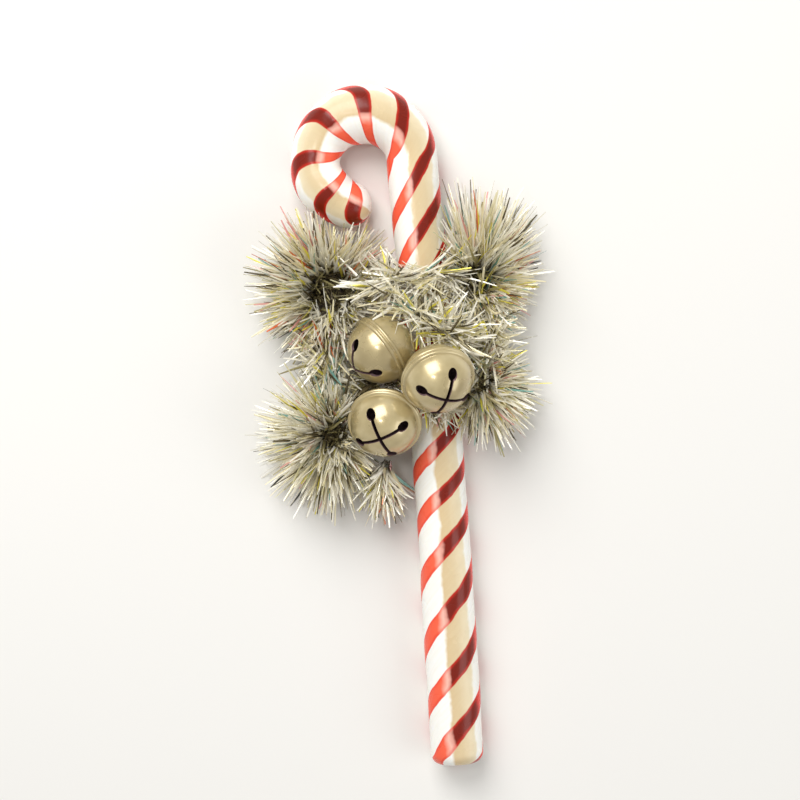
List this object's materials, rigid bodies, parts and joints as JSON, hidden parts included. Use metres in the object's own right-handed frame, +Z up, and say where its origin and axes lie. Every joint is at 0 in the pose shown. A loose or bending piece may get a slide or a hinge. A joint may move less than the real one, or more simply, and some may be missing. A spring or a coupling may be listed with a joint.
{
  "type": "decorated candy cane",
  "caption": "Striped peppermint candy cane with a hooked top, lying flat, with a tinsel garland bow and jingle bells tied on below the hook.",
  "frame": {"origin": "middle of the footprint, on the surface that the cane lies on", "axes": "+Y from the straight end towards the crook, +Z up out of the surface, +X towards the open side of the bow away from the crook's tip"},
  "size_m": [0.115, 0.2712, 0.053],
  "materials": {
    "pulled_sugar": "glossy pulled sugar, cream white with twisted red stripes",
    "bell_metal": "thin stamped metal with a soft antique gold shine",
    "tinsel_foil": "shiny cream and khaki foil strips on a twisted wire"
  },
  "bodies": {
    "root": {"cane": "pulled_sugar", "bell_upper_left": "bell_metal", "bell_right": "bell_metal", "bell_lower_left": "bell_metal", "tinsel_loop_upper_left": "tinsel_foil", "tinsel_loop_lower_left": "tinsel_foil", "tinsel_loop_upper_right": "tinsel_foil", "tinsel_loop_lower_right": "tinsel_foil", "tinsel_tie": "tinsel_foil", "tinsel_tail": "tinsel_foil"}
  },
  "joints": []
}
